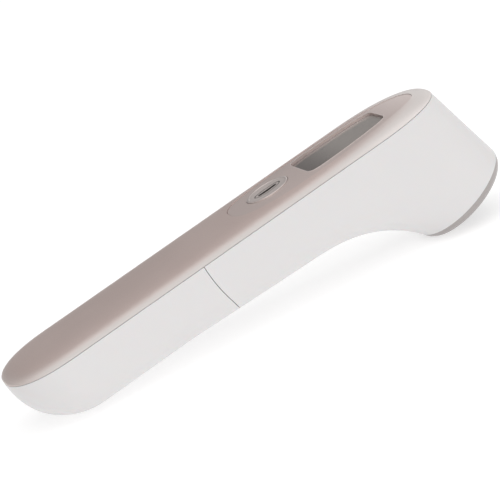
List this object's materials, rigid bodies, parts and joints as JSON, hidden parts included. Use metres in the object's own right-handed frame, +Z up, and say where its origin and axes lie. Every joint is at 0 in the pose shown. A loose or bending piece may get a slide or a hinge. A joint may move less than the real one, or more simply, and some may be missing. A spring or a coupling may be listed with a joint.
{
  "type": "non-contact infrared thermometer",
  "caption": "Handheld infrared thermometer: flat pearl top with display and scan button on a white shell, bent-down sensor nose with a ring, sliding battery cover, cells and electronics inside.",
  "frame": {"origin": "middle of the footprint, on the surface that the nose ring and the tail rest on", "axes": "+X towards the head and sensor nose, +Z up, +Y across the handle; the top panel slopes up towards +X"},
  "size_m": [0.1765, 0.0384, 0.0462],
  "materials": {
    "pearl_panel": "pearl grey, satin gloss",
    "inlay": "pale pearl, gloss",
    "display": "clear",
    "button": "satin",
    "white_shell": "satin",
    "ring": "satin",
    "bezel": "matte",
    "ir_window": "polished",
    "dark_plastic": "matte",
    "white_plastic": "matte",
    "cell_wrap": "printed sleeve, no text",
    "steel": "plated",
    "spring_steel": "plated",
    "wire": "insulated wire",
    "circuit_board": "solder mask",
    "chip": "moulded",
    "lcd": "polished",
    "rubber": "soft",
    "aluminium": "bright",
    "flex": "amber film"
  },
  "bodies": {
    "housing": {"top_panel": "pearl_panel", "inlay_plate": "inlay", "display_lens": "display", "head_shell": "white_shell", "battery_tray": "dark_plastic", "battery_1": "cell_wrap", "battery_2": "cell_wrap", "bridge_contact": "steel", "terminal_plates": "steel", "contact_springs": "spring_steel", "battery_wires": "wire", "main_board": "circuit_board", "board_screws": "steel", "tray_screws": "steel", "housing_screws": "steel", "scan_switch": "dark_plastic", "lcd_glass": "lcd", "lcd_backlight": "white_plastic", "lcd_frame": "white_plastic", "elastomer_strips": "rubber", "microcontroller": "chip", "board_components": "chip", "buzzer": "chip", "nose_ring": "ring", "sensor_bezel": "bezel", "sensor_window": "ir_window", "sensor_gasket": "rubber", "wave_guide": "aluminium", "sensor_holder": "dark_plastic", "thermopile": "steel", "sensor_board": "circuit_board", "sensor_screws": "steel", "flex_cable": "flex"},
    "cover": {"battery_cover": "white_shell"},
    "button": {"scan_button": "button"}
  },
  "joints": [
    {"name": "cover_slide", "type": "slide", "parent": "housing", "child": "cover", "axis": [-0.9862, 0, -0.1654], "range_m": [0, 0.085]},
    {"name": "button_press", "type": "slide", "parent": "housing", "child": "button", "axis": [0.1654, 0, -0.9862], "range_m": [0, 0.0006], "stiffness_N_per_m": 2000, "springref_m": -0.0004}
  ]
}
